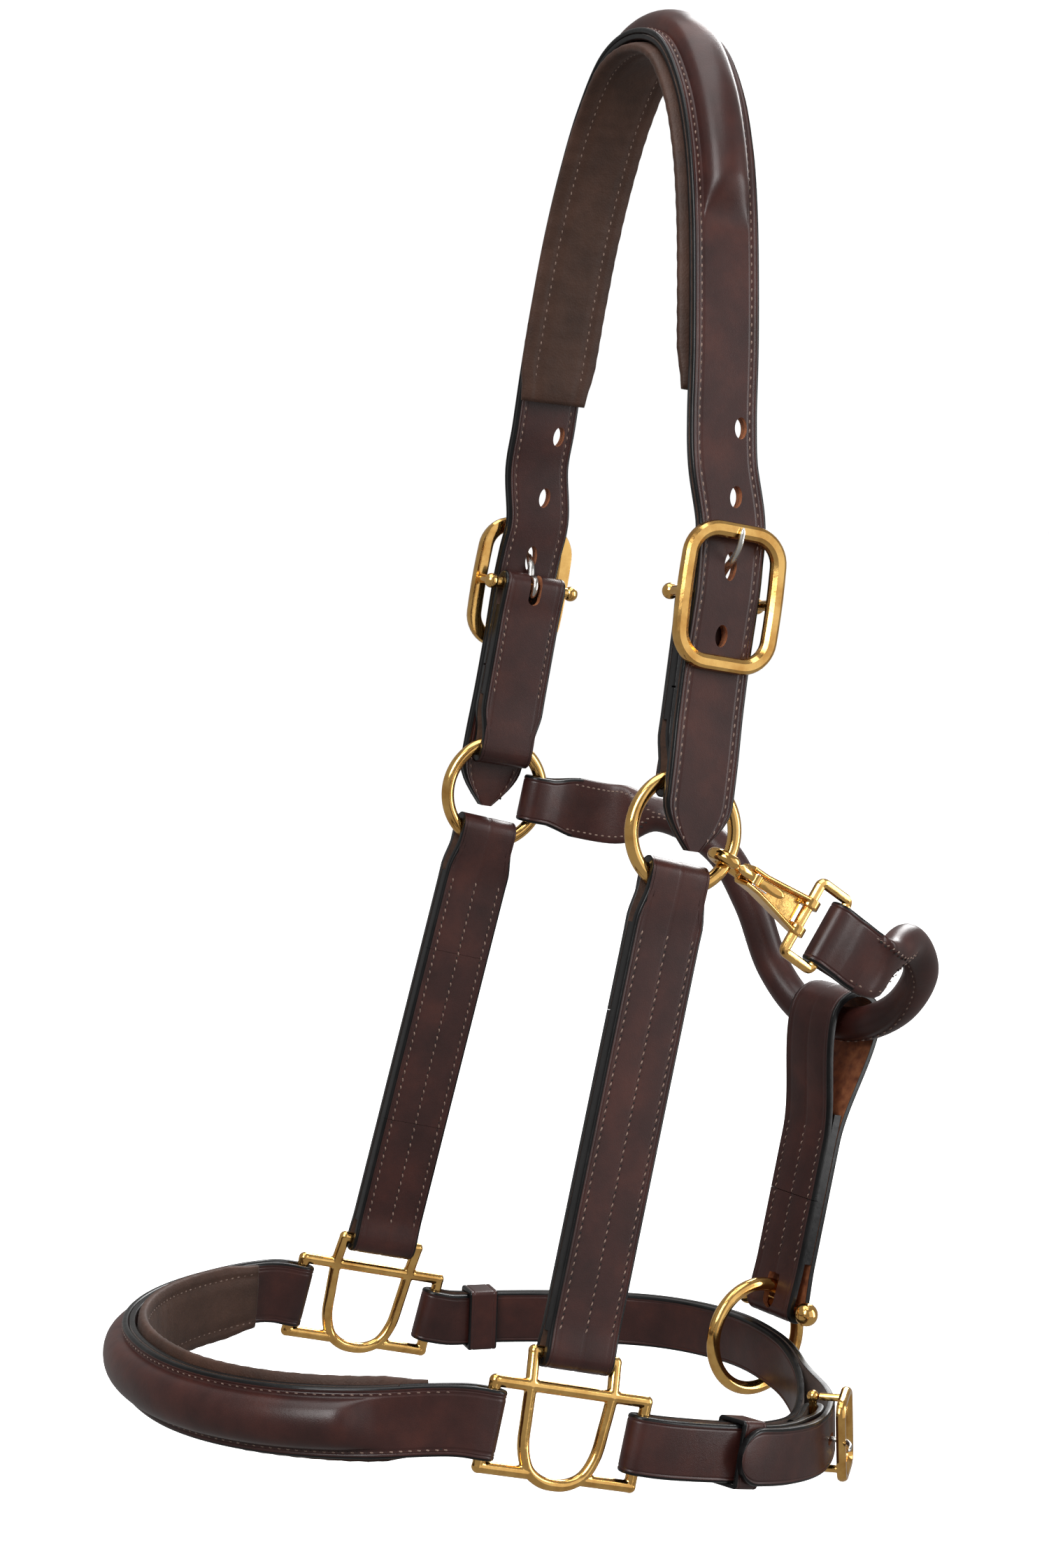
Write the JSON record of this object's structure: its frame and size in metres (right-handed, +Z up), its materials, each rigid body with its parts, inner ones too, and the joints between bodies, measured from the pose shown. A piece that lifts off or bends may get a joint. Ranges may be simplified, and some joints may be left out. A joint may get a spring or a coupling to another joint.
{
  "type": "leather headcollar",
  "caption": "Buckled leather headcollar: raised padded crown and noseband, cheek straps on rings, rolled throat latch with snap, chin strap and lead ring.",
  "frame": {"origin": "underside of the crown lining at its top, where the headcollar lies on the poll, midway between the two sides", "axes": "+X to the horse's left (near) side, -Y towards the nose, +Z up"},
  "size_m": [0.1882, 0.2842, 0.4977],
  "materials": {
    "havana": "waxed bridle leather, dark brown with black painted edges",
    "lining": "soft matte brown leather, padded",
    "core": "undyed cord and strips inside the straps",
    "brass": "polished solid brass",
    "steel": "polished stainless steel"
  },
  "bodies": {
    "headpiece": {"crown_cover": "havana", "crown_backing": "havana", "crown_filler": "core", "crown_lining": "lining", "chape_near": "havana", "chape_filler_near": "core", "buckle_frame_near": "brass", "buckle_bar_near": "brass", "chape_far": "havana", "chape_filler_far": "core", "buckle_frame_far": "brass", "buckle_bar_far": "brass"},
    "crown_tongue_near": {"buckle_tongue_near": "steel"},
    "crown_tongue_far": {"buckle_tongue_far": "steel"},
    "cheek_ring_near": {"ring_near": "brass"},
    "cheek_ring_far": {"ring_far": "brass"},
    "muzzle": {"cheek_strap_near": "havana", "cheek_backing_near": "havana", "cheek_filler_near": "core", "square_near": "brass", "cheek_strap_far": "havana", "cheek_backing_far": "havana", "cheek_filler_far": "core", "square_far": "brass", "noseband_cover": "havana", "noseband_backing": "havana", "noseband_filler": "core", "noseband_lining": "lining"},
    "chin": {"chin_strap": "havana", "chin_buckle_frame": "brass", "chin_buckle_bar": "brass"},
    "chin_tongue": {"chin_buckle_tongue": "steel"},
    "keeper_near": {"chin_keeper_near": "havana"},
    "keeper_far": {"chin_keeper_far": "havana"},
    "throat_latch": {"throat_roll": "havana", "throat_core": "core", "snap_body": "brass", "snap_pin": "steel", "snap_spring": "steel", "snap_loop": "brass"},
    "gate": {"snap_gate": "brass"},
    "throat_drop": {"throat_strap": "havana", "throat_strap_filler": "core", "chin_ring_bolt": "brass"},
    "lead_ring": {"chin_ring": "brass"}
  },
  "joints": [
    {"name": "crown_tongue_near_swing", "type": "hinge", "parent": "headpiece", "child": "crown_tongue_near", "pos_m": [0.07206, -0.01622, -0.1812], "axis": [0, 0.9857, -0.1685], "range_deg": [0, 4]},
    {"name": "crown_tongue_far_swing", "type": "hinge", "parent": "headpiece", "child": "crown_tongue_far", "pos_m": [-0.07206, -0.01622, -0.1812], "axis": [0, -0.9857, 0.1685], "range_deg": [0, 4]},
    {"name": "cheek_ring_near_spin", "type": "hinge", "parent": "headpiece", "child": "cheek_ring_near", "pos_m": [0.0763, -0.029, -0.256], "axis": [0.9986, 0, 0.0523], "continuous": true},
    {"name": "cheek_ring_far_spin", "type": "hinge", "parent": "headpiece", "child": "cheek_ring_far", "pos_m": [-0.0763, -0.029, -0.256], "axis": [0.9986, 0, -0.0523], "continuous": true},
    {"name": "muzzle_swing", "type": "hinge", "parent": "headpiece", "child": "muzzle", "pos_m": [0, -0.029, -0.256], "axis": [1, 0, 0], "range_deg": [-6, 6]},
    {"name": "chin_swing", "type": "hinge", "parent": "muzzle", "child": "chin", "pos_m": [0, -0.0504, -0.452], "axis": [1, 0, 0], "range_deg": [-3, 3]},
    {"name": "chin_tongue_swing", "type": "hinge", "parent": "chin", "child": "chin_tongue", "pos_m": [0.05829, 0.03097, -0.46613], "axis": [0.1336, -0.1041, 0.9856], "range_deg": [0, 4]},
    {"name": "keeper_near_slide", "type": "slide", "parent": "chin", "child": "keeper_near", "axis": [-0.3212, 0.9188, -0.2293], "range_m": [-0.002, 0.002]},
    {"name": "keeper_far_slide", "type": "slide", "parent": "chin", "child": "keeper_far", "axis": [-0.1116, -0.9932, 0.0329], "range_m": [-0.002, 0.002]},
    {"name": "throat_latch_swing", "type": "hinge", "parent": "muzzle", "child": "throat_latch", "pos_m": [0, -0.029, -0.256], "axis": [1, 0, 0], "range_deg": [-3, 3]},
    {"name": "gate_swing", "type": "hinge", "parent": "throat_latch", "child": "gate", "pos_m": [0.07807, -0.00337, -0.27265], "axis": [0, -0.5446, -0.8387], "range_deg": [0, 12], "stiffness_Nm_per_rad": 0.05, "springref_deg": -8.59},
    {"name": "throat_drop_swing", "type": "hinge", "parent": "throat_latch", "child": "throat_drop", "pos_m": [0, 0.071, -0.3356], "axis": [0.9841, 0.1735, -0.0385], "range_deg": [-3.75, 3.75]},
    {"name": "lead_ring_swing", "type": "hinge", "parent": "throat_drop", "child": "lead_ring", "pos_m": [0, 0.0485, -0.4371], "axis": [0.9841, 0.1735, -0.0385], "range_deg": [-1.5, 1.5]}
  ],
  "couplings": [
    {"joint": "chin_swing", "follows": "throat_latch_swing", "ratio": 1},
    {"joint": "throat_drop_swing", "follows": "throat_latch_swing", "ratio": -1.25}
  ]
}
